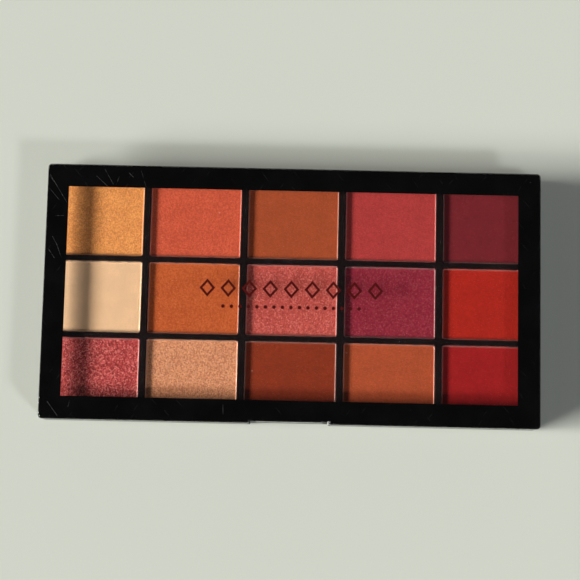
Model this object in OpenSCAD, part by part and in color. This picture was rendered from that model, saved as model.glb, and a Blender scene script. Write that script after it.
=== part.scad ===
// Slim eyeshadow palette with a clear hinged lid.
// Origin: centre of the resting face. +X right, +Y towards the hinges, +Z up. Millimetres.

/* [Pans] */
// Number of pans from left to right
pan_cols = 5; // [2:1:6]
// Number of pans from front to back
pan_rows = 3; // [1:1:4]
// Width of one metal pan
pan_w = 27.8; // [22:0.1:34]
// Depth of one metal pan, front to back
pan_d = 21.8; // [17:0.1:27]
// Height of one metal pan
pan_h = 2.45; // [1.6:0.05:4]
// Sheet thickness of the pan
pan_t = 0.4; // [0.2:0.05:0.5]
// Corner radius of the pan
pan_r = 0.8; // [0.6:0.1:2.5]
// How far the powder lies below the rim of its pan
powder_drop = 0.25; // [0.05:0.05:0.5]
// Clearance between the powder and the wall of its pan
powder_gap = 0.03; // [0.02:0.01:0.1]
// Radius of one dot of adhesive under a pan
dot_r = 4; // [2:0.5:7]
// Thickness of the adhesive
dot_t = 0.15; // [0.1:0.05:0.4]

/* [Tray] */
// Clearance between a pan and its well, all round
well_gap = 0.1; // [0.05:0.05:0.3]
// Rib between two pans that lie side by side
rib_x = 1.7; // [1:0.1:3]
// Rib between two pans that lie one behind the other
rib_y = 1.4; // [1:0.1:3]
// Outer wall of the tray
tray_wall = 0.7; // [0.5:0.1:1.5]
// Floor of the tray under the wells
tray_floor = 0.8; // [0.6:0.1:1.5]
// How far the rim of a pan lies below the top of the ribs
rim_drop = 0.7; // [0.4:0.05:1.5]
// Clearance between the tray and the base shell, all round
tray_gap = 0.1; // [0.05:0.05:0.3]

/* [Base shell] */
// Side wall of the base shell, beside the tray
side_wall = 0.8; // [0.6:0.1:2]
// Wall that is left behind the thumb scoop
scoop_wall = 0.8; // [0.5:0.1:1.5]
// Wall between the tray and the hinge recess
back_wall = 1.65; // [1:0.05:2.5]
// Thickness of the floor
floor_t = 1; // [0.8:0.1:2]
// Height of the hollow between the floor and the tray
hollow_h = 2.9; // [1.5:0.1:5]
// Width of the ledge that carries the edge of the tray
ledge_w = 1; // [0.5:0.1:2]
// Radius of a post under the tray
post_r = 2; // [1:0.25:3]
// Height of the stiffening ribs on the floor
floor_rib_h = 1.2; // [0.5:0.1:1.5]
// Thickness of the stiffening ribs on the floor
floor_rib_t = 0.8; // [0.6:0.1:1.2]
// Corner radius of the palette in plan
corner_r = 1.2; // [1.2:0.1:4]
// Corner radius of the tray and of its seat
tray_r = 0.8; // [0.5:0.1:2]
// Rounding of the lower edge
foot_r = 0.8; // [0.3:0.1:1]
// Height of the thumb scoop's lower edge
scoop_z = 2.8; // [1.5:0.1:4]
// How far the thumb scoop is wider than the notch of the lid, on each side
scoop_side = 0.5; // [0.2:0.1:2]
// Radius of the thumb scoop's lower corners
scoop_r = 1.5; // [0.5:0.1:2]
// Width of the resting rim round the recessed underside
foot_rim = 4; // [2:0.5:8]
// Depth of the recess in the underside
foot_recess = 0.25; // [0.1:0.05:0.4]

/* [Lid] */
// Thickness of the clear top plate
plate_t = 1.2; // [0.8:0.1:2]
// Thickness of the clear side walls
skirt_t = 1; // [0.7:0.1:1.3]
// Seam between the closed lid and the base
seam = 0.15; // [0.1:0.05:0.3]
// Rounding of the lid's upper edge
edge_r = 0.5; // [0.2:0.1:0.8]
// Width of the pull notch in the front edge
notch_w = 24; // [14:1:40]
// Depth of the pull notch in the front edge
notch_d = 0.55; // [0.3:0.05:0.8]
// Thickness of the pull tab
tab_t = 0.55; // [0.4:0.05:0.8]
// Clearance between the pull tab and the thumb scoop
tab_gap = 0.25; // [0.15:0.05:0.5]
// How far the pull tab is narrower than the notch, on each side
tab_inset = 2; // [0.5:0.5:4]
// How far the pull tab reaches below the seam
tab_drop = 2.8; // [1.8:0.1:4]
// Radius of the pull tab's lower corners
tab_r = 0.8; // [0.3:0.1:1.5]
// Width of the snap bead and of the ridge that it passes
bead_w = 10; // [4:1:14]
// Height of the snap bead and of the ridge
bead_h = 0.5; // [0.3:0.1:0.8]
// Clearance by which the bead passes the ridge
bead_pass = 0.05; // [0.02:0.01:0.1]
// Gap between the bead of the closed lid and the ridge above it
bead_gap = 0.6; // [0.2:0.1:0.8]
// Thickness of the inner wall in front of the hinges
inner_wall_t = 0.8; // [0.5:0.1:1.2]

/* [Print] */
// Thickness of the printed layer
print_t = 0.06; // [0.04:0.01:0.1]
// Unprinted margin along the outer edge
print_inset = 0.4; // [0.2:0.1:1]
// Width of the border at the left side
border_left = 6.6; // [4:0.1:10]
// Width of the border at the right side
border_right = 6.9; // [4:0.1:10]
// Width of the border at the front
border_front = 6.9; // [4:0.1:10]
// Width of the border at the back
border_back = 7; // [4:0.1:10]
// Length of the ornament in the window
motif_w = 57; // [30:1:80]
// Height of the ornament's lozenges
motif_h = 5.5; // [3:0.5:9]
// Number of lozenges in the ornament
motif_count = 9; // [3:2:15]
// Width of the printed line of a lozenge
motif_line = 0.7; // [0.3:0.1:1.2]
// How far the lozenges lie behind the middle of the window
motif_shift = 1.7; // [0:0.1:10]
// Length of the row of dots in front of the lozenges
dots_w = 43.5; // [20:0.5:70]
// Size of one dot in that row
motif_dot = 1.1; // [0.6:0.1:2]

/* [Hinges] */
// Radius of the hinge pin
pin_r = 0.6; // [0.4:0.05:0.8]
// Radial clearance of the pin in the lid's lug
pin_gap = 0.05; // [0.02:0.01:0.08]
// Wall of the knuckles round the pin
knuckle_wall = 0.9; // [0.7:0.05:1.3]
// Distance of each hinge's middle from the side edge of the palette
hinge_edge = 30; // [18:1:45]
// Width of the lid's lug
lug_w = 9; // [5:0.5:14]
// Width of each ear of the base
ear_w = 5; // [3:0.5:8]
// Side clearance between a lug and an ear
ear_gap = 0.2; // [0.1:0.05:0.4]
// How far the hinge axis lies below the rim of the base
axis_drop = 0.5; // [0.2:0.1:0.8]
// Clearance round everything that swings in the hinge recess
swing_gap = 0.2; // [0.15:0.05:0.4]
// How far the knuckles stay inside the back edge
knuckle_inset = 0.05; // [0:0.05:0.3]
// Clearance between the lid's side walls and the ends of the cuts over the ears
ear_window_gap = 0.4; // [0.3:0.1:1]

/* [Hidden] */
$fn = 48;
// small overlap that lets two shapes of one solid merge
bite = 0.2;
// small length by which a cut runs past a face
past = 0.5;

// grid of the wells
well_w = pan_w + 2 * well_gap;
well_d = pan_d + 2 * well_gap;
pitch_x = well_w + rib_x;
pitch_y = well_d + rib_y;
pan_count = pan_cols * pan_rows;
tray_w = pan_cols * pitch_x - rib_x + 2 * tray_wall;
tray_d = pan_rows * pitch_y - rib_y + 2 * tray_wall;

// plan of the base, from the tray outwards
cavity_w = tray_w + 2 * tray_gap;
cavity_d = tray_d + 2 * tray_gap;
knuckle_r = pin_r + knuckle_wall;
recess_d = 2 * (knuckle_r + knuckle_inset) + swing_gap;
scoop_d = notch_d + tab_t + tab_gap;
outer_w = cavity_w + 2 * side_wall;
outer_d = scoop_d + scoop_wall + cavity_d + back_wall + recess_d;
front_y = -outer_d / 2;
back_y = outer_d / 2;
cavity_front_y = front_y + scoop_d + scoop_wall;
cavity_back_y = cavity_front_y + cavity_d;
cavity_y = (cavity_front_y + cavity_back_y) / 2;
recess_y = cavity_back_y + back_wall;

// heights, from the resting face upwards
ledge_z = floor_t + hollow_h;
well_z = ledge_z + tray_floor;
pan_z = well_z + dot_t;
rim_z = pan_z + pan_h + rim_drop;
powder_z = pan_z + pan_t;
powder_h = pan_h - pan_t - powder_drop;

// hinge axis and the space that the lid's back edge sweeps
axis_y = back_y - knuckle_inset - knuckle_r;
axis_z = rim_z - axis_drop;
plate_z = axis_z + knuckle_r + swing_gap;
top_z = plate_z + plate_t;
skirt_z = rim_z + seam;
swing_r = norm([back_y - axis_y, top_z - axis_z]);
recess_z = axis_z - swing_r - swing_gap;
hinge_w = lug_w + 2 * ear_gap + 2 * ear_w;
hinge_x = outer_w / 2 - hinge_edge;

// thumb scoop and pull tab
scoop_w = notch_w + 2 * scoop_side;
tab_w = notch_w - 2 * tab_inset;
tab_y = front_y + notch_d;
tab_z = skirt_z - tab_drop;
bead_out = (tab_gap - bead_pass) / 2;
ridge_z = tab_z + bead_h + bead_gap;

// window in the print, and the ornament in it
window_left_x = border_left - outer_w / 2;
window_right_x = outer_w / 2 - border_right;
window_front_y = front_y + border_front;
window_back_y = back_y - border_back;
window_x = (window_left_x + window_right_x) / 2;
window_y = (window_front_y + window_back_y) / 2;
motif_pitch = motif_w / motif_count;
motif_y = window_y + motif_shift;
lozenge_a = motif_pitch * 3 / 8;
lozenge_b = motif_h / 2;
lozenge_bore = 1 - motif_line * norm([lozenge_a, lozenge_b]) / (lozenge_a * lozenge_b);
dot_count = 2 * motif_count - 1;
dot_pitch = dots_w / dot_count;
dot_y = motif_y - motif_h;

function two_digits(i) = i < 10 ? str("0", i) : str(i);
// centre of pan number i, counted from the back left corner
function pan_x(i) = (((i - 1) % pan_cols) - (pan_cols - 1) / 2) * pitch_x;
function pan_y(i) = cavity_y + ((pan_rows - 1) / 2 - floor((i - 1) / pan_cols)) * pitch_y;

pan_numbers = [for (i = [1 : pan_count]) i];
pan_nodes = [for (i = pan_numbers) str("pan_", two_digits(i))];
shade_nodes = [for (i = pan_numbers) str("shade_", two_digits(i))];

// colours of the powders, row by row from the back left corner
shade_colours = [
    "#f19a55", "#d55a3e", "#ad4e2c", "#b53d3b", "#772228",
    "#fccb9e", "#c85d2f", "#c35249", "#902637", "#b12519",
    "#b74745", "#dc9068", "#8e351c", "#b55130", "#a21c1d"
];

// rounded rectangle, drawn with true arcs
module round_rect(w, d, r) {
    square([w - 2 * r, d], center = true);
    square([w, d - 2 * r], center = true);
    for (x = [-1, 1], y = [-1, 1]) {
        translate([x * (w / 2 - r), y * (d / 2 - r)])
            circle(r);
    }
}

module round_slab(w, d, h, r) {
    linear_extrude(h) round_rect(w, d, r);
}

// cross-section of a slab, w wide and h high, with upper corners of radius e
module soft_profile(w, h, e) {
    translate([-w / 2, 0])
        square([w, h - e]);
    translate([e - w / 2, 0])
        square([w - 2 * e, h]);
    for (x = [-1, 1]) {
        translate([x * (w / 2 - e), h - e])
            circle(e);
    }
}

// corner of a slab: a round block of radius r with a rounding e on its upper edge
module soft_corner(r, h, e) {
    rotate_extrude()
        intersection() {
            soft_profile(2 * r, h, e);
            square([r, h]);
        }
}

// slab with a plan radius r, and a rounding e on its upper edge
module soft_slab(w, d, h, r, e) {
    rotate([90, 0, 0])
        linear_extrude(d - 2 * r, center = true) soft_profile(w, h, e);
    rotate([90, 0, 90])
        linear_extrude(w - 2 * r, center = true) soft_profile(d, h, e);
    for (x = [-1, 1], y = [-1, 1]) {
        translate([x * (w / 2 - r), y * (d / 2 - r), 0])
            soft_corner(r, h, e);
    }
}

// upright plate in the XZ plane, hung from the height z1, with rounded lower corners
module hung_plate(w, y0, y1, z0, z1, r) {
    translate([0, y1, z1])
        rotate([90, 0, 0])
            linear_extrude(y1 - y0)
                intersection() {
                    round_rect(w, 2 * (z1 - z0), r);
                    translate([-w / 2, z0 - z1])
                        square([w, z1 - z0]);
                }
}

module block(x0, x1, y0, y1, z0, z1) {
    translate([x0, y0, z0])
        cube([x1 - x0, y1 - y0, z1 - z0]);
}

// round bar along X, centred on x
module bar_x(x, y, z, r, w) {
    translate([x - w / 2, y, z])
        rotate([0, 90, 0])
            cylinder(h = w, r = r);
}

module base_body() {
    translate([0, 0, rim_z])
        mirror([0, 0, 1])
            soft_slab(outer_w, outer_d, rim_z, corner_r, foot_r);
}

module base_hollows() {
    // seat of the tray and the hollow below it
    translate([0, cavity_y, ledge_z])
        round_slab(cavity_w, cavity_d, rim_z - ledge_z + past, tray_r);
    translate([0, cavity_y, floor_t])
        round_slab(cavity_w - 2 * ledge_w, cavity_d - 2 * ledge_w, hollow_h + past, tray_r);
    // recess of the hinges, open to the back and to both sides
    block(-outer_w, outer_w, recess_y, outer_d, recess_z, rim_z + past);
    // thumb scoop in the front face, and the notch of the lid carried on down below it
    hung_plate(scoop_w, front_y - past, front_y + scoop_d, scoop_z, rim_z + past, scoop_r);
    block(-notch_w / 2, notch_w / 2, front_y - past, tab_y, -past, scoop_z + bite);
    // recessed underside
    translate([0, 0, -past])
        round_slab(outer_w - 2 * foot_rim, outer_d - 2 * foot_rim, foot_recess + past, corner_r);
}

module base_posts() {
    for (i = [1 : pan_cols - 1]) {
        x = (i - pan_cols / 2) * pitch_x;
        block(x - floor_rib_t / 2, x + floor_rib_t / 2, cavity_front_y, cavity_back_y,
            floor_t - bite, floor_t + floor_rib_h);
        for (j = [1 : 1 : pan_rows - 1]) {
            translate([x, cavity_y + (j - pan_rows / 2) * pitch_y, floor_t - bite])
                cylinder(h = hollow_h + bite, r = post_r);
        }
    }
}

// knuckle of the base, carried by a web from the wall in front of it
module base_ear(x) {
    bar_x(x, axis_y, axis_z, knuckle_r, ear_w);
    block(x - ear_w / 2, x + ear_w / 2, recess_y - bite, axis_y,
        axis_z - knuckle_r, rim_z);
}

module base_shell() {
    color("#141415")
        difference() {
            union() {
                difference() {
                    base_body();
                    base_hollows();
                }
                base_posts();
                for (side = [-1, 1], end = [-1, 1]) {
                    base_ear(side * hinge_x + end * (lug_w + ear_w + 2 * ear_gap) / 2);
                }
                // ridge in the scoop that the bead of the pull tab passes
                block(-bead_w / 2, bead_w / 2, front_y + scoop_d - bead_out,
                    front_y + scoop_d + bite, ridge_z, ridge_z + bead_h);
            }
            for (side = [-1, 1]) {
                bar_x(side * hinge_x, axis_y, axis_z, pin_r, hinge_w + 2 * past);
            }
        }
}

module pan_tray() {
    color("#1b1a1a")
        difference() {
            translate([0, cavity_y, ledge_z])
                round_slab(tray_w, tray_d, rim_z - ledge_z, tray_r);
            for (i = pan_numbers) {
                translate([pan_x(i), pan_y(i), well_z])
                    round_slab(well_w, well_d, rim_z - well_z + past, pan_r + well_gap);
            }
        }
}

module adhesive_dots() {
    color("#d9cfa8")
        for (i = pan_numbers) {
            translate([pan_x(i), pan_y(i), well_z])
                cylinder(h = dot_t, r = dot_r);
        }
}

module pan(i) {
    color("#c9c8c4")
        translate([pan_x(i), pan_y(i), pan_z])
            difference() {
                round_slab(pan_w, pan_d, pan_h, pan_r);
                translate([0, 0, pan_t])
                    round_slab(pan_w - 2 * pan_t, pan_d - 2 * pan_t, pan_h, pan_r - pan_t);
            }
}

module shade(i) {
    inset = pan_t + powder_gap;
    color(shade_colours[(i - 1) % len(shade_colours)])
        translate([pan_x(i), pan_y(i), powder_z])
            round_slab(pan_w - 2 * inset, pan_d - 2 * inset, powder_h, pan_r - inset);
}

module hinge_pin(side) {
    color("#b9bcc0")
        bar_x(side * hinge_x, axis_y, axis_z, pin_r, hinge_w);
}

// knuckle of the lid, hung from the top plate
module lid_lug(x) {
    bar_x(x, axis_y, axis_z, knuckle_r, lug_w);
    block(x - lug_w / 2, x + lug_w / 2, axis_y - knuckle_r, axis_y + knuckle_r,
        axis_z, plate_z + bite);
}

module lid_walls() {
    difference() {
        translate([0, 0, skirt_z])
            soft_slab(outer_w, outer_d, top_z - skirt_z, corner_r, edge_r);
        // inside of the lid
        translate([0, 0, skirt_z - past])
            round_slab(outer_w - 2 * skirt_t, outer_d - 2 * skirt_t,
                plate_z - skirt_z + past, tray_r);
        // pull notch in the front edge
        block(-notch_w / 2, notch_w / 2, front_y - past, tab_y, skirt_z - past, top_z + past);
        // windows in the back wall, over the ears of the base
        for (side = [-1, 1]) {
            cut = hinge_w / 2 + ear_window_gap;
            block(side * hinge_x - cut, side * hinge_x + cut, axis_y, outer_d,
                skirt_z - past, plate_z);
        }
    }
    // inner wall that closes the lid in front of the hinge recess
    block(-outer_w / 2 + skirt_t / 2, outer_w / 2 - skirt_t / 2,
        cavity_back_y + (back_wall - inner_wall_t) / 2,
        cavity_back_y + (back_wall + inner_wall_t) / 2, skirt_z, plate_z + bite);
}

module pull_tab() {
    hung_plate(tab_w, tab_y, tab_y + tab_t, tab_z, plate_z + bite, tab_r);
    block(-bead_w / 2, bead_w / 2, tab_y + tab_t - bite, tab_y + tab_t + bead_out,
        tab_z, tab_z + bead_h);
}

module lid_shell() {
    color([0.86, 0.88, 0.88, 0.35])
        difference() {
            union() {
                lid_walls();
                pull_tab();
                for (side = [-1, 1]) {
                    lid_lug(side * hinge_x);
                }
            }
            for (side = [-1, 1]) {
                bar_x(side * hinge_x, axis_y, axis_z, pin_r + pin_gap, lug_w + 2 * past);
            }
        }
}

module border_print() {
    side_inset = 2 * print_inset;
    color("#0c0c0d")
        translate([0, 0, top_z])
            linear_extrude(print_t)
                difference() {
                    round_rect(outer_w - side_inset, outer_d - side_inset, corner_r - print_inset);
                    translate([window_left_x, window_front_y])
                        square([window_right_x - window_left_x, window_back_y - window_front_y]);
                    translate([-notch_w / 2 - print_inset, front_y - past])
                        square([notch_w + side_inset, past + notch_d + print_inset]);
                }
}

// upright lozenge around the origin, k times its full size
module lozenge(k) {
    polygon([[-k * lozenge_a, 0], [0, -k * lozenge_b],
        [k * lozenge_a, 0], [0, k * lozenge_b]]);
}

// row of outlined lozenges over a shorter row of dots
module window_motif() {
    color("#1d1512")
        translate([0, 0, top_z])
            linear_extrude(print_t) {
                for (i = [1 : motif_count]) {
                    translate([window_x + (i - (motif_count + 1) / 2) * motif_pitch, motif_y])
                        difference() {
                            lozenge(1);
                            lozenge(lozenge_bore);
                        }
                }
                for (i = [1 : dot_count]) {
                    translate([window_x + (i - motif_count) * dot_pitch, dot_y])
                        circle(motif_dot / 2);
                }
            }
}

base_shell();
pan_tray();
adhesive_dots();
for (i = pan_numbers) {
    pan(i);
    shade(i);
}
hinge_pin(-1);  // hinge_pin_left
hinge_pin(1);  // hinge_pin_right
lid_shell();
border_print();
window_motif();
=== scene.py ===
"""Looks of an eyeshadow palette: fifteen pressed powders in metal pans under a hinged clear lid.

The file is laid out as an add-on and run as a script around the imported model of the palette.
The settings and the scene are in metres. Names that end in _MM, the node groups and the functions
that shape a powder are in millimetres.
"""

import math

import bpy
from bpy.props import FloatProperty, FloatVectorProperty, PointerProperty
from mathutils import Matrix, Vector, noise


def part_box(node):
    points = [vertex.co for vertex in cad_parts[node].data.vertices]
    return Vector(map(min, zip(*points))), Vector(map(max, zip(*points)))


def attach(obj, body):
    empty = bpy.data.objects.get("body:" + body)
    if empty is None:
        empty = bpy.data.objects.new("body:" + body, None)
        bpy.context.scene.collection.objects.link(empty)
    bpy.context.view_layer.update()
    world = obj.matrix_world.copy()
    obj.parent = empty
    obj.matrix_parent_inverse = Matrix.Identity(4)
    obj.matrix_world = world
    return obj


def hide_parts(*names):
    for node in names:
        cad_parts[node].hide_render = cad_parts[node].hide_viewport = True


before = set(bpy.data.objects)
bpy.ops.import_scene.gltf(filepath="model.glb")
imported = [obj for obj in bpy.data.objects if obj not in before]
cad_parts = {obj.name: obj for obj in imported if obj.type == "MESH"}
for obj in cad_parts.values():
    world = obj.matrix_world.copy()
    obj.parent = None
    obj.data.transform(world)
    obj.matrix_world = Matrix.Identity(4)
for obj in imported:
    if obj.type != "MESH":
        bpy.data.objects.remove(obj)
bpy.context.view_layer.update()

bl_info = {
    "name": "Eyeshadow Palette",
    "version": (1, 0, 0),
    "blender": (4, 5, 0),
    "location": "View3D > Sidebar > Palette",
    "description": "Dresses a fifteen-pan eyeshadow palette with powders, metal and clear plastic",
    "category": "Object",
}

MM = 0.001

# ---------------------------------------------------------------- tables of the palette

# Name of the finish and colour of each powder, row by row from the back left corner.
SHADES = (
    ("satin", "#f19a55"),
    ("speckled", "#d55a3e"),
    ("matte", "#ad4e2c"),
    ("matte", "#b53d3b"),
    ("matte", "#772228"),
    ("cream", "#fccb9e"),
    ("speckled", "#c85d2f"),
    ("shimmer", "#c35249"),
    ("satin", "#902637"),
    ("matte", "#b12519"),
    ("glitter", "#b74745"),
    ("shimmer", "#dc9068"),
    ("matte", "#8e351c"),
    ("matte", "#b55130"),
    ("matte", "#a21c1d"),
)

# How each finish looks: flake size in mm, flake tilt, tone contrast, share of flakes that glint,
# strength of the painted glint colour, metal share, roughness, grain depth in mm.
FINISHES = {
    "matte": (0.30, 0.02, 0.22, 0.0, 0.00, 0.0, 0.92, 0.006),
    "speckled": (0.34, 0.03, 0.13, 0.05, 0.18, 0.0, 0.88, 0.006),
    "cream": (0.30, 0.01, 0.06, 0.0, 0.00, 0.0, 0.85, 0.003),
    "satin": (0.32, 0.05, 0.17, 0.16, 0.16, 0.03, 0.66, 0.006),
    "shimmer": (0.34, 0.10, 0.21, 0.18, 0.36, 0.08, 0.56, 0.006),
    "glitter": (0.36, 0.18, 0.40, 0.24, 0.58, 0.12, 0.50, 0.008),
}
# The finishes whose tone follows the grain and not the flakes.
GRAIN_ONLY = ("matte", "cream")

# Painted glint: a glinting flake gets a painted highlight in its colour, which is its powder's
# own colour raised by this gain at most, and this pale gold.
PAINTED_GLINT_GAIN = 2.0
PAINTED_GLINT_PALE = (0.10, 0.18, 0.15)
# How much more green and blue vary from flake to flake than red does, as a power of the tone.
DEEPENING = 0.5

# Loose crumbs on single powders, by the powder's place in SHADES: their places from its centre.
CRUMBS_MM = {1: ((6.9, 3.1),), 12: ((-11.5, 1.8),), 13: ((-12.9, 7.9),)}
CRUMB_LENGTH_MM = 0.15
CRUMB_WIDTH_MM = 0.28
CRUMB_STRENGTH = 2.5

# The grid of a powder's mesh: how far in from the edge its first lines lie, its cells beyond
# them, and the finer cells of the chipped powder.
NEAR_EDGE_MM = (0.0, 0.03, 0.07, 0.12, 0.18, 0.25, 0.35, 0.55, 0.85)
CELL_MM = 0.6
FINE_CELL_MM = 0.26

# The corner radius of a powder seen from above, and the waves to a millimetre in its surface.
CORNER_MM = 0.36
SLOW_WAVES = 0.16
SMALL_WAVES = 0.9
SMALL_SHARE = 0.35
LIP_WAVES = 1.3
CHIP_WAVES = 2.1

# The powder that is chipped, by its place in SHADES, and its crack and dent. Their places are
# counted from the powder's front right corner.
CHIPPED = 10
CRACK_START_MM = Vector((-3.2, 6.4))
CRACK_END_MM = Vector((-1.2, 1.6))
CRACK_HALF_WIDTH_MM = 0.22
CRACK_DEPTH_MM = 0.14
DENT_CENTRE_MM = Vector((-1.25, 1.9))
DENT_HALF_SIZE_MM = Vector((0.45, 1.25))
DENT_DEPTH_MM = 0.34

# Two sets of fine scratches that cross on each surface: angle in radians, length, width and
# spacing in mm, and the share of them that is there.
CASE_SCRATCHES = ((0.35, 5.0, 0.03, 2.6, 0.35), (1.9, 3.5, 0.025, 3.4, 0.3))
LID_SCRATCHES = ((0.5, 9.0, 0.02, 4.2, 0.3), (2.3, 6.0, 0.02, 5.0, 0.3))
INK_SCRATCHES = ((0.9, 5.0, 0.035, 5.5, 0.3), (2.2, 3.6, 0.03, 6.5, 0.3))

# How far a fine scratch bends, and over what length.
BEND_MM = 1.6
BEND_LENGTH_MM = 7.0

# How far a single scratch wanders from its straight line, over what length, and how long the
# stretches are between its gaps.
WANDER_MM = 0.22
WANDER_LENGTH_MM = 0.9
STRETCH_MM = 0.5

# Scratches on the printed border that stand out: start, end and width.
BORDER_SCRATCHES_MM = (
    ((-74.3, 35.3), (-68.9, 26.8), 0.09),
    ((-74.1, 34.6), (-72.2, 32.0), 0.07),
    ((-74.3, 31.0), (-71.3, 27.6), 0.08),
    ((-60.1, 35.1), (-56.7, 32.0), 0.10),
    ((-57.7, 37.3), (-55.0, 32.7), 0.07),
    ((-54.0, 32.7), (-53.3, 35.1), 0.06),
    ((-50.3, 36.3), (-49.0, 35.0), 0.09),
    ((-72.2, 22.6), (-69.7, 22.7), 0.09),
    ((-72.8, 16.2), (-71.3, 13.6), 0.12),
    ((-71.3, 13.6), (-69.9, 9.9), 0.06),
    ((-73.9, 12.4), (-72.0, 9.7), 0.08),
    ((-46.8, 37.6), (-45.0, 32.0), 0.05),
    ((-72.2, -33.8), (-69.2, -37.7), 0.11),
    ((-65.5, -32.9), (-66.0, -35.0), 0.06),
    ((-19.8, -33.6), (-19.7, -36.3), 0.09),
    ((71.6, 36.1), (71.8, 36.0), 0.12),
)

# Colours of grain, wear and dirt, as linear numbers.
BLACK = (0.0, 0.0, 0.0)
WHITE = (1.0, 1.0, 1.0)
CHARCOAL = (0.05, 0.05, 0.05)
RUBBED_PLASTIC = (0.05, 0.05, 0.048)
SCRATCHED_PLASTIC = (0.10, 0.10, 0.098)
SCRATCHED_INK = (0.12, 0.12, 0.115)
INK_DUST = (0.20, 0.17, 0.15)
MOTIF_RED = (0.30, 0.06, 0.04)
CRUMB_PALE = (1.0, 0.9, 0.8)
PAN_DUST = (0.80, 0.66, 0.52)
EDGE_DUST = (0.86, 0.66, 0.52)
LID_SHADOW = (0.95, 0.955, 0.95)
STEEL_TONES = ((0.42, 0.42, 0.41), (0.60, 0.60, 0.58))
GLUE_TONES = ((0.62, 0.58, 0.48), (0.78, 0.75, 0.66))

# Corners closer than this are joined before edges that turn by more than this are softened.
JOIN_MM = 0.001
HARD_EDGE_DEG = 38


def linear(value):
    """One sRGB channel from 0 to 1 as a linear number."""
    return value / 12.92 if value <= 0.04045 else ((value + 0.055) / 1.055) ** 2.4


def colour(text):
    """A colour written as #rrggbb, as three linear numbers."""
    return tuple(linear(int(text[i : i + 2], 16) / 255) for i in (1, 3, 5))


def rgba(value):
    """Three linear numbers as the four that a colour socket takes. A socket stays as it is."""
    return value if isinstance(value, bpy.types.NodeSocket) else (*value[:3], 1.0)


def towards(first, second, share):
    """The colour that lies a share of the way from the first to the second."""
    return tuple(a + (b - a) * share for a, b in zip(first, second))


def shade_number(index):
    """The two digits that name a pan or powder."""
    return f"{index + 1:02d}"


# ---------------------------------------------------------------- settings


class PaletteSizes(bpy.types.PropertyGroup):
    """Sizes of the small details that the looks add."""

    shell_edge: FloatProperty(
        name="Shell edge",
        description="Width of the softened edges of the base and tray",
        default=0.00012,
        unit="LENGTH",
        subtype="DISTANCE",
    )
    rim_edge: FloatProperty(
        name="Metal edge",
        description="Width of the softened edges of the pan rims and hinge pins",
        default=0.00017,
        unit="LENGTH",
        subtype="DISTANCE",
    )
    lid_edge: FloatProperty(
        name="Lid edge",
        description="Width of the softened edges of the clear lid",
        default=0.0001,
        unit="LENGTH",
        subtype="DISTANCE",
    )
    powder_gap: FloatProperty(
        name="Powder gap",
        description="Space between the powder and the wall of its pan",
        default=0.00001,
        unit="LENGTH",
        subtype="DISTANCE",
    )
    powder_lip: FloatProperty(
        name="Powder lip",
        description="Width of the lip of powder that climbs to the pan rim",
        default=0.00024,
        unit="LENGTH",
        subtype="DISTANCE",
    )
    lip_rise: FloatProperty(
        name="Lip rise",
        description="Height of the lip above the flat of the powder",
        default=0.00009,
        unit="LENGTH",
        subtype="DISTANCE",
    )
    waviness: FloatProperty(
        name="Waviness",
        description="Height of the slow waves in a pressed powder",
        default=0.000014,
        unit="LENGTH",
        subtype="DISTANCE",
    )


class PaletteColours(bpy.types.PropertyGroup):
    """Colours of the case, its print and the floor. The powders have their own."""

    shell: FloatVectorProperty(
        name="Shell",
        description="Black plastic of the base",
        default=colour("#131314"),
        subtype="COLOR",
        size=3,
        min=0,
        max=1,
    )
    tray: FloatVectorProperty(
        name="Tray",
        description="Black plastic of the pan tray",
        default=colour("#110504"),
        subtype="COLOR",
        size=3,
        min=0,
        max=1,
    )
    ink: FloatVectorProperty(
        name="Border ink",
        description="Black ink of the border on the lid",
        default=colour("#040404"),
        subtype="COLOR",
        size=3,
        min=0,
        max=1,
    )
    motif: FloatVectorProperty(
        name="Motif ink",
        description="Dark ink of the ornament on the window",
        default=colour("#480604"),
        subtype="COLOR",
        size=3,
        min=0,
        max=1,
    )
    metal: FloatVectorProperty(
        name="Pan metal",
        description="Bare metal of the pans",
        default=colour("#c9c7c4"),
        subtype="COLOR",
        size=3,
        min=0,
        max=1,
    )
    lid: FloatVectorProperty(
        name="Lid",
        description="Tint of the clear plastic",
        default=(0.97, 0.985, 0.975),
        subtype="COLOR",
        size=3,
        min=0,
        max=1,
    )
    floor: FloatVectorProperty(
        name="Floor",
        description="Plain pale floor of the stage",
        default=colour("#cbd0c5"),
        subtype="COLOR",
        size=3,
        min=0,
        max=1,
    )


class PaletteShades(bpy.types.PropertyGroup):
    """Colours of the fifteen powders."""

    __annotations__ = {
        f"shade_{shade_number(index)}": FloatVectorProperty(
            name=f"Powder {index + 1}",
            description=f"Colour of powder {index + 1}, which has a {finish} finish",
            default=colour(written),
            subtype="COLOR",
            size=3,
            min=0,
            max=1,
        )
        for index, (finish, written) in enumerate(SHADES)
    }


def settings():
    """The three groups of settings on the scene: sizes, colours and shades."""
    scene = bpy.context.scene
    return scene.palette_sizes, scene.palette_colours, scene.palette_shades


# ---------------------------------------------------------------- node helpers


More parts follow.
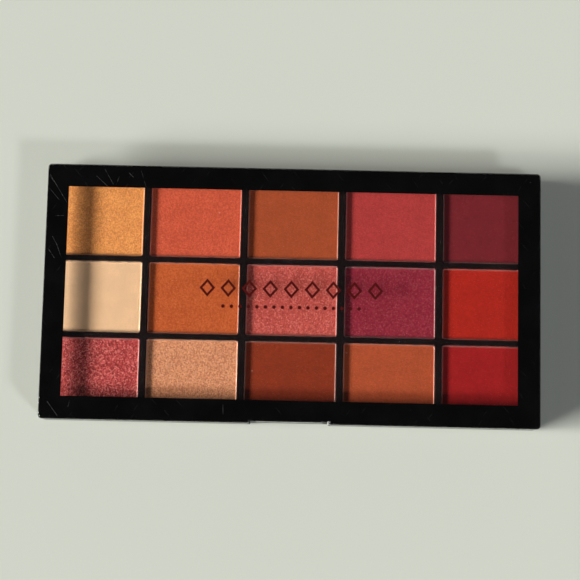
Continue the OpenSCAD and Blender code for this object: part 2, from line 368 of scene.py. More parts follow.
class Board:
    """Adds nodes to one tree from left to right, and links them."""

    STEP = 190
    ROWS = 5

    def __init__(self, tree):
        self.tree = tree
        self.count = 0

    def put(self, kind, inputs=None, **choices):
        """Adds a node, sets it, and feeds its inputs with numbers or with other sockets."""
        node = self.tree.nodes.new(kind)
        column, row = divmod(self.count, self.ROWS)
        node.location = (self.STEP * column, -self.STEP * row)
        self.count += 1
        for key, value in choices.items():
            setattr(node, key, value)
        for key, value in (inputs or {}).items():
            self.feed(node.inputs[key], value)
        return node

    def feed(self, socket, value):
        """Links a socket to this one, or sets this one's own number."""
        if isinstance(value, bpy.types.NodeSocket):
            self.tree.links.new(value, socket)
        else:
            socket.default_value = value

    def fill(self, node, **values):
        """Feeds the node's inputs, which are named as its sockets are, with _ for a space."""
        for key, value in values.items():
            self.feed(node.inputs[key.replace("_", " ")], value)

    def use(self, name, **values):
        """Places a shared node group with its own values: its outputs."""
        node = self.put("ShaderNodeGroup", node_tree=bpy.data.node_groups[name])
        self.fill(node, **values)
        return node.outputs

    def maths(self, operation, *values, clamp=False):
        """One Math node."""
        inputs = dict(enumerate(values))
        return self.put("ShaderNodeMath", inputs, operation=operation, use_clamp=clamp).outputs[0]

    def plus(self, first, second):
        """The sum of two numbers."""
        return self.maths("ADD", first, second)

    def minus(self, first, second):
        """The first number less the second."""
        return self.maths("SUBTRACT", first, second)

    def times(self, first, second):
        """The product of two numbers."""
        return self.maths("MULTIPLY", first, second)

    def larger(self, first, second):
        """The larger of two numbers."""
        return self.maths("MAXIMUM", first, second)

    def vector(self, operation, *values, output=0):
        """One Vector Math node."""
        inputs = dict(enumerate(values))
        return self.put("ShaderNodeVectorMath", inputs, operation=operation).outputs[output]

    def scaled(self, vector, factor):
        """A vector or colour times a number."""
        inputs = {0: vector, "Scale": factor}
        return self.put("ShaderNodeVectorMath", inputs, operation="SCALE").outputs[0]

    def joined(self, x, y, z):
        """One vector out of three numbers."""
        return self.put("ShaderNodeCombineXYZ", {"X": x, "Y": y, "Z": z}).outputs[0]

    def parts(self, vector):
        """The outputs X, Y and Z of a vector."""
        return self.put("ShaderNodeSeparateXYZ", {0: vector}).outputs

    def channels(self, tint):
        """The outputs Red, Green and Blue of a colour."""
        return self.put("ShaderNodeSeparateColor", {0: tint}).outputs

    def ramp(self, value, low, high, start=0.0, end=1.0):
        """Maps low to start and high to end, with soft ends."""
        inputs = {"Value": value, "From Min": low, "From Max": high}
        inputs |= {"To Min": start, "To Max": end}
        return self.put("ShaderNodeMapRange", inputs, interpolation_type="SMOOTHSTEP").outputs[0]

    def mix(self, share, first, second):
        """Mixes two colours."""
        inputs = {0: share, 6: rgba(first), 7: rgba(second)}
        return self.put("ShaderNodeMix", inputs, data_type="RGBA").outputs[2]

    def layer(self, under, mask, tint, share):
        """Lays a tint over a colour where the mask is, at most by this share."""
        return self.mix(self.times(mask, share), under, tint)

    def blend(self, share, first, second):
        """Mixes two numbers."""
        inputs = {0: share, 2: first, 3: second}
        return self.put("ShaderNodeMix", inputs, data_type="FLOAT").outputs[0]

    def place(self):
        """The point on the piece's own axes, in millimetres."""
        own = self.put("ShaderNodeTexCoord").outputs["Object"]
        return self.scaled(own, 1 / MM)

    def noise(self, place, size, detail=2.0, rough=0.5):
        """A noise whose waves are about this many millimetres long."""
        scale = self.maths("DIVIDE", 1.0, size)
        inputs = {"Vector": place, "Scale": scale, "Detail": detail, "Roughness": rough}
        return self.put("ShaderNodeTexNoise", inputs).outputs["Fac"]

    def cells(self, place, size):
        """Cells of about this many millimetres: the node's outputs."""
        scale = self.maths("DIVIDE", 1.0, size)
        return self.put("ShaderNodeTexVoronoi", {"Vector": place, "Scale": scale}).outputs


# ---------------------------------------------------------------- node groups


def new_group(name, inputs, outputs):
    """A node group with number or vector inputs: (its board, its input sockets, its outputs)."""
    tree = bpy.data.node_groups.new(name, "ShaderNodeTree")
    for key, value in inputs.items():
        kind = "NodeSocketVector" if isinstance(value, tuple) else "NodeSocketFloat"
        socket = tree.interface.new_socket(name=key, in_out="INPUT", socket_type=kind)
        socket.default_value = value
    for key in outputs:
        tree.interface.new_socket(name=key, in_out="OUTPUT", socket_type="NodeSocketFloat")
    board = Board(tree)
    given = board.put("NodeGroupInput").outputs
    return board, given, board.put("NodeGroupOutput").inputs


def build_grain():
    """Fine grain of a moulded or pressed surface, with slow changes of tone."""
    inputs = {"Grain": 0.15, "Mottle": 3.0}
    board, given, out = new_group("Fine grain", inputs, ["Height", "Tone"])
    place = board.place()
    board.feed(out["Height"], board.noise(place, given["Grain"], detail=3.0, rough=0.6))
    board.feed(out["Tone"], board.noise(place, given["Mottle"], detail=3.0, rough=0.55))


def build_flakes():
    """Flakes that lie at their own small angles. Height is in millimetres, for a Bump node."""
    inputs = {"Size": 0.3, "Tilt": 0.3, "Share": 0.12}
    board, given, out = new_group("Flakes", inputs, ["Height", "Tone", "Glint"])
    place = board.place()
    cell = board.cells(place, given["Size"])
    from_centre = board.vector("SUBTRACT", place, cell["Position"])
    slope = board.vector("SUBTRACT", cell["Color"], (0.5, 0.5, 0.5))
    lean = board.vector("DOT_PRODUCT", from_centre, slope, output=1)
    board.feed(out["Height"], board.times(lean, given["Tilt"]))
    random = board.channels(cell["Color"])
    board.feed(out["Tone"], random["Green"])
    edge = board.minus(1.0, given["Share"])
    board.feed(out["Glint"], board.ramp(random["Blue"], edge, board.plus(edge, 0.06)))


def build_specks():
    """Small round specks, such as dust or pits, scattered at a spacing."""
    inputs = {"Spacing": 2.0, "Size": 0.12, "Share": 0.4}
    board, given, out = new_group("Specks", inputs, ["Mask"])
    cell = board.cells(board.place(), given["Spacing"])
    away = board.times(cell["Distance"], given["Spacing"])
    random = board.channels(cell["Color"])
    size = board.times(given["Size"], board.ramp(random["Red"], 0.0, 1.0, 0.3, 1.0))
    near = board.ramp(away, size, board.times(size, 0.5))
    kept = board.maths("LESS_THAN", random["Green"], given["Share"])
    board.feed(out["Mask"], board.times(near, kept))


def build_scratches():
    """Fine short scratches that lie about one way. Angle is in radians."""
    inputs = {"Angle": 0.0, "Length": 6.0, "Width": 0.05, "Spacing": 3.0, "Share": 0.4}
    board, given, out = new_group("Fine scratches", inputs, ["Mask"])
    turning = {"Vector": board.place(), "Angle": given["Angle"]}
    turned = board.put("ShaderNodeVectorRotate", turning, rotation_type="Z_AXIS").outputs[0]
    bend = board.times(board.noise(turned, BEND_LENGTH_MM, detail=1.0), BEND_MM)
    bent = board.vector("ADD", turned, board.joined(0.0, bend, 0.0))
    size = board.joined(given["Length"], given["Spacing"], given["Spacing"])
    cell_place = board.vector("DIVIDE", bent, size)
    cell = board.cells(cell_place, 1.0)
    from_centre = board.vector("SUBTRACT", cell_place, cell["Position"])
    gap = board.parts(board.vector("MULTIPLY", from_centre, size))
    half = board.times(given["Length"], 0.42)
    tip = board.ramp(board.maths("ABSOLUTE", gap["X"]), 0.0, half, 1.0, 0.0)
    side = board.times(given["Width"], board.plus(tip, 0.05))
    line = board.ramp(board.maths("ABSOLUTE", gap["Y"]), side, board.times(side, 0.4))
    random = board.channels(cell["Color"])
    kept = board.maths("LESS_THAN", random["Red"], given["Share"])
    faint = board.ramp(random["Green"], 0.0, 1.0, 0.25, 1.0)
    strong = board.times(board.times(line, kept), faint)
    board.feed(out["Mask"], board.times(strong, board.maths("GREATER_THAN", tip, 0.0)))


def build_line():
    """One scratch between two points, in millimetres, broken up along its length."""
    inputs = {"Start": (0.0, 0.0, 0.0), "End": (1.0, 0.0, 0.0), "Width": 0.12}
    board, given, out = new_group("Scratch", inputs, ["Mask"])
    place = board.place()
    flat = board.vector("MULTIPLY", place, (1.0, 1.0, 0.0))
    run = board.vector("SUBTRACT", given["End"], given["Start"])
    offset = board.vector("SUBTRACT", flat, given["Start"])
    reached = board.vector("DOT_PRODUCT", offset, run, output=1)
    whole = board.vector("DOT_PRODUCT", run, run, output=1)
    foot = board.scaled(run, board.maths("DIVIDE", reached, whole, clamp=True))
    away = board.vector("LENGTH", board.vector("SUBTRACT", offset, foot), output=1)
    wander = board.minus(board.noise(place, WANDER_LENGTH_MM), 0.5)
    away = board.maths("ABSOLUTE", board.plus(away, board.times(wander, WANDER_MM)))
    near = board.ramp(away, given["Width"], board.times(given["Width"], 0.3))
    broken = board.ramp(board.noise(place, STRETCH_MM), 0.35, 0.62, 0.25, 1.0)
    board.feed(out["Mask"], board.times(near, broken))


def build_edges():
    """Edges and corners, where handling has rubbed the surface."""
    board, given, out = new_group("Edge wear", {"Breakup": 0.8}, ["Mask"])
    facing = board.put("ShaderNodeTexCoord").outputs["Normal"]
    parts = board.parts(board.vector("ABSOLUTE", facing))
    largest = board.larger(board.larger(parts["X"], parts["Y"]), parts["Z"])
    edge = board.ramp(largest, 0.97, 0.80)
    patches = board.noise(board.place(), given["Breakup"], detail=4.0, rough=0.65)
    board.feed(out["Mask"], board.times(edge, board.ramp(patches, 0.34, 0.66)))


def build_pan_edge():
    """The band of a powder that lies along its pan, about the powder's own centre."""
    inputs = {"Half width": 13.6, "Half depth": 10.6, "Band": 0.4}
    board, given, out = new_group("Pan edge", inputs, ["Mask"])
    place = board.place()
    parts = board.parts(board.vector("ABSOLUTE", place))
    across = board.minus(given["Half width"], parts["X"])
    deep = board.minus(given["Half depth"], parts["Y"])
    inside = board.plus(board.maths("MINIMUM", across, deep), board.times(given["Band"], 0.5))
    ragged = board.times(board.noise(place, 0.5, detail=3.0), given["Band"])
    board.feed(out["Mask"], board.ramp(board.minus(inside, ragged), given["Band"], 0.0))


GROUPS = {
    "Fine grain": build_grain,
    "Flakes": build_flakes,
    "Specks": build_specks,
    "Fine scratches": build_scratches,
    "Scratch": build_line,
    "Edge wear": build_edges,
    "Pan edge": build_pan_edge,
}


# ---------------------------------------------------------------- materials


def new_material(name, **values):
    """A material with one Principled shader and these plain values: (material, board, shader)."""
    for key, build in GROUPS.items():
        if key not in bpy.data.node_groups:
            build()
    made = bpy.data.materials.new(name)
    made.use_nodes = True
    made.node_tree.nodes.clear()
    board = Board(made.node_tree)
    shader = board.put("ShaderNodeBsdfPrincipled")
    board.fill(shader, **values)
    board.put("ShaderNodeOutputMaterial", {"Surface": shader.outputs[0]})
    return made, board, shader


def bump(board, shader, height, depth_mm):
    """Feeds the shader's normal with a height, of which 1 stands for this many millimetres."""
    inputs = {"Height": height, "Distance": depth_mm * MM, "Strength": 1.0}
    board.feed(shader.inputs["Normal"], board.put("ShaderNodeBump", inputs).outputs[0])


def plain_finish(board, shader, grains, tones, roughness, depth_mm):
    """Two tones of colour, roughness between two numbers, and fine bumps."""
    rough = board.ramp(grains["Height"], 0.2, 0.8, *roughness)
    board.fill(shader, Base_Color=board.mix(grains["Tone"], *tones), Roughness=rough)
    bump(board, shader, grains["Height"], depth_mm)


def crossed_scratches(board, sets):
    """The mask of two sets of fine scratches that cross."""
    names = ("Angle", "Length", "Width", "Spacing", "Share")
    masks = [board.use("Fine scratches", **dict(zip(names, values)))["Mask"] for values in sets]
    return board.larger(*masks)


def one_scratch(board, start, end, width):
    """The mask of one scratch between two places."""
    return board.use("Scratch", Start=(*start, 0.0), End=(*end, 0.0), Width=width)["Mask"]


def plastic(name, base, dust, roughness, grain_mm, depth_mm, dust_share):
    """Black moulded plastic with rubbed edges, fine scratches and a little powder dust."""
    made, board, shader = new_material(name, IOR=1.5, Specular_IOR_Level=0.4)
    grains = board.use("Fine grain", Grain=grain_mm, Mottle=5.0)
    worn = board.use("Edge wear", Breakup=0.7)["Mask"]
    marks = crossed_scratches(board, CASE_SCRATCHES)
    specks = board.use("Specks", Spacing=1.5, Size=0.11, Share=dust_share)["Mask"]
    dark, pale = towards(base, BLACK, 0.25), towards(base, CHARCOAL, 0.08)
    tint = board.mix(grains["Tone"], dark, pale)
    tint = board.layer(tint, worn, RUBBED_PLASTIC, share=0.35)
    tint = board.layer(tint, marks, SCRATCHED_PLASTIC, share=0.30)
    tint = board.layer(tint, specks, dust, share=0.55)
    clean = board.ramp(grains["Tone"], 0.2, 0.8, roughness - 0.05, roughness + 0.06)
    rough = board.plus(clean, board.times(board.larger(marks, specks), 0.25))
    board.fill(shader, Base_Color=tint, Roughness=rough)
    bump(board, shader, board.minus(grains["Height"], board.times(marks, 0.6)), depth_mm)
    return made


def powder(index, finish, base, half_width, half_depth):
    """Pressed powder: grain, mottling, small pits, and flakes where its finish has them."""
    size, tilt, contrast, share, glint, metal, roughness, depth = FINISHES[finish]
    name = f"powder {shade_number(index)} {finish}"
    made, board, shader = new_material(name, Specular_IOR_Level=0.10)
    # The spacings differ a little from powder to powder, so that no two look the same.
    grains = board.use("Fine grain", Grain=0.34, Mottle=5.5 + 0.5 * (index % 4))
    pits = board.use("Specks", Spacing=3.6 + 0.2 * (index % 5), Size=0.13, Share=0.18)["Mask"]
    crumbs = board.use("Specks", Spacing=5.3 - 0.3 * (index % 3), Size=0.12, Share=0.12)["Mask"]
    for x, y in CRUMBS_MM.get(index, ()):
        crumb = one_scratch(board, (x, y), (x + CRUMB_LENGTH_MM, y), CRUMB_WIDTH_MM)
        crumbs = board.larger(crumbs, board.times(crumb, CRUMB_STRENGTH))
    edge = board.use("Pan edge", Half_width=half_width, Half_depth=half_depth, Band=0.30)["Mask"]
    mottle = board.ramp(grains["Tone"], 0.30, 0.70, 0.96, 1.04)
    fine = board.ramp(grains["Height"], 0.30, 0.70, 1.0 - contrast, 1.0 + contrast)
    flakes = board.use("Flakes", Size=size, Tilt=tilt, Share=share)
    if finish in GRAIN_ONLY:
        tone = board.times(fine, mottle)
    else:
        tone = board.ramp(flakes["Tone"], 0.0, 1.0, 1.0 - contrast, 1.0 + contrast)
        tone = board.times(board.times(tone, mottle), board.blend(0.5, 1.0, fine))
    tint = board.scaled(base, tone)
    if glint:
        deeper = board.maths("POWER", tone, DEEPENING)
        tint = board.vector("MULTIPLY", tint, board.joined(1.0, deeper, deeper))
        # Painted glint: the glinting flakes get a brighter colour, a painted highlight in the base
        # colour.
        gain = min(PAINTED_GLINT_GAIN, (1.0 - PAINTED_GLINT_PALE[0]) / base[0])
        shine = tuple(channel * gain + pale for channel, pale in zip(base, PAINTED_GLINT_PALE))
        tint = board.layer(tint, flakes["Glint"], shine, share=glint)
    # Painted shade: the pits, which the bump presses in, are also painted darker as shade in the
    # hollows.
    tint = board.layer(tint, pits, towards(base, BLACK, 0.5), share=0.35)
    tint = board.layer(tint, crumbs, towards(base, CRUMB_PALE, 0.3), share=0.30)
    tint = board.layer(tint, edge, towards(base, EDGE_DUST, 0.10), share=0.6)
    if glint:
        rough = board.ramp(flakes["Tone"], 0.0, 1.0, roughness + 0.10, roughness - 0.10)
    else:
        roughest = min(roughness + 0.07, 1.0)
        rough = board.ramp(grains["Height"], 0.2, 0.8, roughness - 0.05, roughest)
    board.fill(shader, Base_Color=tint, Roughness=rough)
    if metal:
        board.feed(shader.inputs["Metallic"], board.times(flakes["Glint"], metal))
    pressed = board.times(board.minus(grains["Height"], pits), depth)
    bump(board, shader, board.plus(pressed, flakes["Height"]), 1.0)
    return made


def pan_metal(index, metal, base):
    """Stamped aluminium pan with its own powder rubbed over the rim."""
    name = f"pan metal {shade_number(index)}"
    made, board, shader = new_material(name, IOR=1.5, Specular_IOR_Level=1.0)
    grains = board.use("Fine grain", Grain=0.25, Mottle=1.4)
    flecks = board.use("Specks", Spacing=0.7, Size=0.22, Share=0.5)["Mask"]
    bare = board.use("Edge wear", Breakup=1.2)["Mask"]
    film = board.ramp(grains["Tone"], 0.36, 0.60, 0.72, 1.0)
    covered = board.larger(film, board.times(flecks, 0.98))
    covered = board.times(covered, board.blend(bare, 1.0, 0.85))
    tint = board.mix(covered, metal, towards(base, PAN_DUST, 0.06))
    metallic = board.ramp(covered, 0.7, 1.0, 0.85, 0.0)
    rough = board.ramp(covered, 0.7, 1.0, 0.30, 0.44)
    board.fill(shader, Base_Color=tint, Metallic=metallic, Roughness=rough)
    bump(board, shader, board.plus(grains["Height"], flecks), 0.010)
    return made


def clear_plastic(tint):
    """Clear plastic with faint smears and hairline scratches. Lamps shine straight through it."""
    made, board, shader = new_material(
        "clear lid", Base_Color=rgba(tint), IOR=1.49, Metallic=0.0, Transmission_Weight=1.0
    )
    grains = board.use("Fine grain", Grain=2.5, Mottle=14.0)
    marks = crossed_scratches(board, LID_SCRATCHES)
    smear = board.ramp(grains["Tone"], 0.45, 0.75, 0.0, 0.035)
    rough = board.plus(board.plus(smear, 0.015), board.times(marks, 0.12))
    board.feed(shader.inputs["Roughness"], rough)
    bump(board, shader, board.minus(board.times(grains["Height"], 0.05), marks), 0.001)
    passing = board.put("ShaderNodeBsdfTransparent", {"Color": rgba(LID_SHADOW)})
    rays = board.put("ShaderNodeLightPath").outputs
    straight = board.larger(rays["Is Shadow Ray"], rays["Is Diffuse Ray"])
    inputs = {0: straight, 1: shader.outputs[0], 2: passing.outputs[0]}
    both = board.put("ShaderNodeMixShader", inputs)
    end = next(node for node in made.node_tree.nodes if node.type == "OUTPUT_MATERIAL")
    board.feed(end.inputs["Surface"], both.outputs[0])
    return made


def border_ink(base):
    """Glossy black ink with light hairline scratches and specks of dust."""
    made, board, shader = new_material("border ink", IOR=1.45)
    grains = board.use("Fine grain", Grain=0.5, Mottle=9.0)
    marks = board.times(crossed_scratches(board, INK_SCRATCHES), 0.45)
    for start, end, width in BORDER_SCRATCHES_MM:
        marks = board.larger(marks, one_scratch(board, start, end, width))
    specks = board.use("Specks", Spacing=3.4, Size=0.10, Share=0.30)["Mask"]
    worn = board.use("Edge wear", Breakup=0.9)["Mask"]
    dark, pale = towards(base, BLACK, 0.3), towards(base, CHARCOAL, 0.03)
    tint = board.mix(grains["Tone"], dark, pale)
    tint = board.layer(tint, marks, SCRATCHED_INK, share=0.34)
    tint = board.layer(tint, specks, INK_DUST, share=0.5)
    tint = board.layer(tint, worn, CHARCOAL, share=0.3)
    clean = board.ramp(grains["Tone"], 0.3, 0.7, 0.16, 0.24)
    rough = board.plus(clean, board.times(marks, 0.4))
    board.fill(shader, Base_Color=tint, Roughness=rough)
    bump(board, shader, board.minus(board.times(grains["Height"], 0.2), marks), 0.006)
    return made


def motif_ink(base):
    """Thin dark ink of the window ornament, uneven and a little see-through as prints are."""
    made, board, shader = new_material("motif ink", IOR=1.45, Specular_IOR_Level=0.3)
    grains = board.use("Fine grain", Grain=0.12, Mottle=1.2)
    tones = (base, towards(base, MOTIF_RED, 0.08))
    plain_finish(board, shader, grains, tones, (0.30, 0.48), 0.004)
    board.feed(shader.inputs["Alpha"], board.ramp(grains["Tone"], 0.3, 0.7, 0.88, 0.95))
    return made


def pin_steel():
    """Drawn steel wire with a fine grain."""
    made, board, shader = new_material("pin steel", IOR=1.5, Metallic=1.0)
    grains = board.use("Fine grain", Grain=0.10, Mottle=2.0)
    plain_finish(board, shader, grains, STEEL_TONES, (0.22, 0.40), 0.004)
    return made


def dried_glue():
    """Milky dried glue under the pans."""
    made, board, shader = new_material("dried glue", IOR=1.45)
    grains = board.use("Fine grain", Grain=0.4, Mottle=1.5)
    plain_finish(board, shader, grains, GLUE_TONES, (0.35, 0.55), 0.02)
    return made


# ---------------------------------------------------------------- shapes


def dress(node, material, edge=0.0, segments=2, clamp=True):
    """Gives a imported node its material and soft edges, kept narrow by the clamp where short."""
    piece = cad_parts.get(node)
    if piece is None:
        raise RuntimeError(f"the packed model has no node named {node}")
    piece.data.materials.clear()
    piece.data.materials.append(material)
    if edge:
        weld = piece.modifiers.new("Join corners", "WELD")
        weld.merge_threshold = JOIN_MM * MM
        soft = piece.modifiers.new("Soft edges", "BEVEL")
        soft.width = edge
        soft.segments = segments
        soft.limit_method = "ANGLE"
        soft.angle_limit = math.radians(HARD_EDGE_DEG)
        soft.use_clamp_overlap = clamp
        soft.harden_normals = False
        weighted = piece.modifiers.new("Flat faces", "WEIGHTED_NORMAL")
        weighted.keep_sharp = False


def noise_at(x, y, per_mm, seed):
    """A smooth noise from -1 to 1 over the plane, with about this many waves to a millimetre."""
    return noise.noise(Vector((x * per_mm, y * per_mm, seed)))


def lines_across(half, cell):
    """The places of mesh lines from one edge to the other, close together near both edges."""
    near = [half - inset for inset in NEAR_EDGE_MM]
    inner = near[-1]
    count = max(2, round(2 * inner / cell))
    middle = [-inner + 2 * inner * i / count for i in range(1, count)]
    return [-place for place in near] + middle + near[::-1]


def round_corner(across, deep, half_width, half_depth):
    """Moves a point of the grid in to the powder's round corner, if it lies beyond it."""
    straight_width, straight_depth = half_width - CORNER_MM, half_depth - CORNER_MM
    dx, dy = abs(across) - straight_width, abs(deep) - straight_depth
    if dx <= 0 or dy <= 0:
        return across, deep
    reach = max(dx, dy) / math.hypot(dx, dy)
    x = math.copysign(straight_width + dx * reach, across)
    y = math.copysign(straight_depth + dy * reach, deep)
    return x, y


def powder_height(x, y, inside, top, seed, sizes):
    """Height of a powder's surface: slow and small waves, and a lip that climbs to the pan rim."""
    lip, rise = sizes.powder_lip / MM, sizes.lip_rise / MM
    wave = sizes.waviness / MM
    climb = rise * max(0.0, 1 - inside / lip) ** 2
    ragged = 0.5 + 0.9 * noise_at(x, y, LIP_WAVES, seed)
    slow = wave * noise_at(x, y, SLOW_WAVES, seed + 5)
    small = SMALL_SHARE * wave * noise_at(x, y, SMALL_WAVES, seed + 9)
    return top - wave + climb * min(1.0, 0.75 + 0.25 * ragged) + slow + small


def chip_depth(across, deep, half_width, half_depth):
    """How far the chipped powder is hollowed out at a point."""
    point = Vector((across - half_width, deep + half_depth))
    run = CRACK_END_MM - CRACK_START_MM
    share = min(1.0, max(0.0, (point - CRACK_START_MM).dot(run) / run.length_squared))
    wobble = 0.25 * noise_at(across, deep, CHIP_WAVES, 4.0)
    away = (point - CRACK_START_MM - run * share).length + wobble
    half_crack = CRACK_HALF_WIDTH_MM * (0.6 + share)
    crack = CRACK_DEPTH_MM * max(0.0, 1 - (away / half_crack) ** 2)
    offset = point - DENT_CENTRE_MM
    reach = math.hypot(offset.x / DENT_HALF_SIZE_MM.x, offset.y / DENT_HALF_SIZE_MM.y) + wobble
    return max(crack, DENT_DEPTH_MM * max(0.0, 1 - reach**2))


def outline(wide, deep):
    """The numbers of the points round the edge of a grid, which has columns of deep points."""
    front = [i * deep for i in range(wide)]
    right = [(wide - 1) * deep + j for j in range(1, deep)]
    back = [i * deep + deep - 1 for i in range(wide - 2, -1, -1)]
    left = list(range(deep - 2, 0, -1))
    return front + right + back + left


def powder_mesh(name, index, half_width, half_depth, top, bottom, sizes):
    """A pressed powder about its own centre, with a grid of small faces on top."""
    cell = FINE_CELL_MM if index == CHIPPED else CELL_MM
    columns = lines_across(half_width, cell)
    rows = lines_across(half_depth, cell)
    seed = 17.0 * (index + 1)
    points = []
    for across in columns:
        for deep in rows:
            inside = min(half_width - abs(across), half_depth - abs(deep))
            x, y = round_corner(across, deep, half_width, half_depth)
            z = powder_height(x, y, inside, top, seed, sizes)
            if index == CHIPPED:
                z -= chip_depth(x, y, half_width, half_depth)
            points.append((x * MM, y * MM, z * MM))
    wide, deep = len(columns), len(rows)
    starts = [i * deep + j for i in range(wide - 1) for j in range(deep - 1)]
    faces = [(start, start + deep, start + deep + 1, start + 1) for start in starts]
    loop = outline(wide, deep)
    count, first = len(loop), len(points)
    points += [(points[k][0], points[k][1], bottom * MM) for k in loop]
    for k in range(count):
        after = (k + 1) % count
        faces.append((loop[k], first + k, first + after, loop[after]))
    faces.append(tuple(first + k for k in range(count - 1, -1, -1)))
    mesh = bpy.data.meshes.new(name)
    mesh.from_pydata(points, [], faces)
    mesh.validate()
    mesh.shade_smooth()
    for polygon in mesh.polygons[len(starts) :]:
        polygon.use_smooth = False
    return mesh


# ---------------------------------------------------------------- operators


class PALETTE_OT_case(bpy.types.Operator):
    """Dress the base, the pan tray, the glue and the hinge pins"""

    bl_idname = "palette.case"
    bl_label = "Case"

    def execute(self, context):
        sizes, colours, shades = settings()
        dust = tuple(shades.shade_12)
        shell = plastic(
            "black shell",
            tuple(colours.shell),
            dust,
            roughness=0.26,
            grain_mm=0.12,
            depth_mm=0.006,
            dust_share=0.05,
        )
        tray = plastic(
            "black tray",
            tuple(colours.tray),
            dust,
            roughness=0.22,
            grain_mm=0.09,
            depth_mm=0.004,
            dust_share=0.10,
        )
        dress("base_shell", shell, sizes.shell_edge)
        dress("pan_tray", tray, sizes.shell_edge)
        dress("adhesive_dots", dried_glue())
        steel = pin_steel()
        for side in ("left", "right"):
            dress(f"hinge_pin_{side}", steel, sizes.rim_edge)
        return {"FINISHED"}


class PALETTE_OT_pans(bpy.types.Operator):
    """Dress the fifteen metal pans, each dusted with its own powder"""

    bl_idname = "palette.pans"
    bl_label = "Pans"

    def execute(self, context):
        sizes, colours, shades = settings()
        for index in range(len(SHADES)):
            number = shade_number(index)
            base = tuple(getattr(shades, f"shade_{number}"))
            metal = pan_metal(index, tuple(colours.metal), base)
            dress(f"pan_{number}", metal, sizes.rim_edge, segments=3, clamp=False)
        return {"FINISHED"}


class PALETTE_OT_powders(bpy.types.Operator):
    """Build the fifteen pressed powders in their pans"""

    bl_idname = "palette.powders"
    bl_label = "Powders"

    def execute(self, context):
        sizes, _, shades = settings()
        gap = sizes.powder_gap / MM
        for index, (finish, _) in enumerate(SHADES):
            number = shade_number(index)
            name = f"powder_{number}"
            low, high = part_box(f"shade_{number}")
            centre = (low + high) / 2
            half_width = (high.x - low.x) / 2 / MM - gap
            half_depth = (high.y - low.y) / 2 / MM - gap
            top, bottom = high.z / MM, low.z / MM
            mesh = powder_mesh(name, index, half_width, half_depth, top, bottom, sizes)
            base = tuple(getattr(shades, f"shade_{number}"))
            mesh.materials.append(powder(index, finish, base, half_width, half_depth))
            piece = bpy.data.objects.new(name, mesh)
            piece.location = (centre.x, centre.y, 0.0)
            context.scene.collection.objects.link(piece)
            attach(piece, "base")
            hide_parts(f"shade_{number}")
        return {"FINISHED"}


class PALETTE_OT_lid(bpy.types.Operator):
    """Dress the clear lid and the print on it"""

    bl_idname = "palette.lid"
    bl_label = "Lid and print"

    def execute(self, context):
        sizes, colours, _ = settings()
        dress("lid_shell", clear_plastic(tuple(colours.lid)), sizes.lid_edge)
        dress("border_print", border_ink(tuple(colours.ink)))
        dress("window_motif", motif_ink(tuple(colours.motif)))
        return {"FINISHED"}


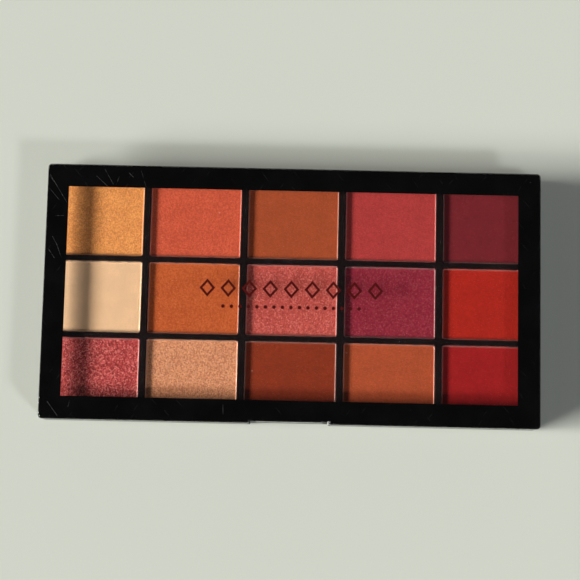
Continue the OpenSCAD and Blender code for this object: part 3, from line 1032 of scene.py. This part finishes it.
class PALETTE_OT_stage(bpy.types.Operator):
    """Set the pale floor, the soft lamps, the surroundings and the camera"""

    bl_idname = "palette.stage"
    bl_label = "Stage"

    FLOOR_HALF = 4.0

    # Name of each distant lamp, azimuth and elevation of its place, strength, spread and tint.
    # Azimuth is counted from +X towards +Y, and the angles are in degrees. The three key lamps
    # together are one long soft light at the left.
    KEY_TINT = (1.0, 0.98, 0.95)
    FILL_TINT = (0.93, 0.95, 1.0)
    LAMPS = (
        ("key lamp back", 183.0, 21.5, 3.20, 12.5, KEY_TINT),
        ("key lamp middle", 194.0, 20.9, 2.04, 12.5, KEY_TINT),
        ("key lamp front", 205.0, 19.7, 2.08, 12.5, KEY_TINT),
        ("fill lamp", -42.0, 34.0, 0.9, 8.0, FILL_TINT),
    )
    LAMP_AWAY = 1.5

    # The room: pale up to one height on the unit sphere, and dark from the other up.
    PALE_ROOM = (0.60, 0.62, 0.58)
    DARK_ROOM = (0.032, 0.030, 0.034)
    PALE_BELOW = 0.08
    DARK_ABOVE = 0.40

    LENS_PIXELS = 1500.0
    FRAME_PIXELS = 580.0
    SENSOR_MM = 36.0
    CAMERA_PLACE_MM = (1.416, -56.634, 458.48)
    CAMERA_TURN_DEG = (-7.390, -0.086, -1.287)
    CAMERA_NEAR = 0.01
    CAMERA_FAR = 50.0

    def floor(self, context, tint):
        """A wide pale floor with a faint paper grain."""
        half = self.FLOOR_HALF
        corners = [(-half, -half, 0), (half, -half, 0), (half, half, 0), (-half, half, 0)]
        mesh = bpy.data.meshes.new("floor")
        mesh.from_pydata(corners, [], [(0, 1, 2, 3)])
        piece = bpy.data.objects.new("floor", mesh)
        context.scene.collection.objects.link(piece)
        made, board, shader = new_material("floor paper", Roughness=0.85, Specular_IOR_Level=0.2)
        tone = board.use("Fine grain", Grain=0.5, Mottle=60.0)["Tone"]
        board.fill(shader, Base_Color=board.mix(tone, tint, towards(tint, WHITE, 0.03)))
        piece.data.materials.append(made)

    def lamp(self, context, name, azimuth, elevation, strength, spread, tint):
        """A distant lamp that shines on the palette from its place."""
        data = bpy.data.lights.new(name, "SUN")
        data.energy = strength
        data.angle = math.radians(spread)
        data.color = tint
        piece = bpy.data.objects.new(name, data)
        a, e = math.radians(azimuth), math.radians(elevation)
        way = Vector((math.cos(a) * math.cos(e), math.sin(a) * math.cos(e), math.sin(e)))
        piece.location = way * self.LAMP_AWAY
        piece.rotation_euler = way.to_track_quat("Z", "Y").to_euler()
        context.scene.collection.objects.link(piece)

    def surroundings(self, context):
        """A room that is pale near the horizon and dark overhead."""
        world = bpy.data.worlds.new("room")
        context.scene.world = world
        world.use_nodes = True
        world.node_tree.nodes.clear()
        board = Board(world.node_tree)
        way = board.put("ShaderNodeTexCoord").outputs["Generated"]
        share = board.ramp(board.parts(way)["Z"], self.PALE_BELOW, self.DARK_ABOVE)
        tint = board.mix(share, self.PALE_ROOM, self.DARK_ROOM)
        glow = board.put("ShaderNodeBackground", {"Color": tint, "Strength": 1.0})
        board.put("ShaderNodeOutputWorld", {"Surface": glow.outputs[0]})

    def camera(self, context):
        """A long lens almost straight above the palette."""
        data = bpy.data.cameras.new("camera")
        data.sensor_width = self.SENSOR_MM
        data.lens = self.LENS_PIXELS / self.FRAME_PIXELS * self.SENSOR_MM
        data.clip_start, data.clip_end = self.CAMERA_NEAR, self.CAMERA_FAR
        piece = bpy.data.objects.new("camera", data)
        tilt, roll, turn = (
            Matrix.Rotation(math.radians(angle), 3, axis)
            for angle, axis in zip(self.CAMERA_TURN_DEG, "XYZ")
        )
        world_to_camera = tilt @ roll @ turn
        piece.rotation_euler = world_to_camera.transposed().to_euler()
        piece.location = Vector(self.CAMERA_PLACE_MM) * MM
        context.scene.collection.objects.link(piece)
        context.scene.camera = piece

    def execute(self, context):
        self.floor(context, tuple(context.scene.palette_colours.floor))
        for lamp in self.LAMPS:
            self.lamp(context, *lamp)
        self.surroundings(context)
        self.camera(context)
        context.scene.view_settings.view_transform = "Standard"
        return {"FINISHED"}


class PALETTE_PT_sidebar(bpy.types.Panel):
    """Lists the steps that dress the palette"""

    bl_idname = "PALETTE_PT_sidebar"
    bl_label = "Eyeshadow Palette"
    bl_space_type = "VIEW_3D"
    bl_region_type = "UI"
    bl_category = "Palette"

    def draw(self, context):
        layout = self.layout
        for step in STEPS:
            layout.operator(step.bl_idname)
        for group in settings():
            box = layout.box()
            for name in group.__annotations__:
                box.prop(group, name)


STEPS = (
    PALETTE_OT_case,
    PALETTE_OT_pans,
    PALETTE_OT_powders,
    PALETTE_OT_lid,
    PALETTE_OT_stage,
)
CLASSES = (PaletteSizes, PaletteColours, PaletteShades, *STEPS, PALETTE_PT_sidebar)


def register():
    """Registers the classes and hangs the settings on the scene."""
    for kind in CLASSES:
        bpy.utils.register_class(kind)
    bpy.types.Scene.palette_sizes = PointerProperty(type=PaletteSizes)
    bpy.types.Scene.palette_colours = PointerProperty(type=PaletteColours)
    bpy.types.Scene.palette_shades = PointerProperty(type=PaletteShades)


def unregister():
    """Takes the settings and the classes away again."""
    for name in ("palette_sizes", "palette_colours", "palette_shades"):
        delattr(bpy.types.Scene, name)
    for kind in reversed(CLASSES):
        bpy.utils.unregister_class(kind)


def main():
    """Runs every step in order."""
    register()
    bpy.ops.palette.case()
    bpy.ops.palette.pans()
    bpy.ops.palette.powders()
    bpy.ops.palette.lid()
    bpy.ops.palette.stage()
    bpy.context.view_layer.update()


if __name__ == "__main__":
    main()
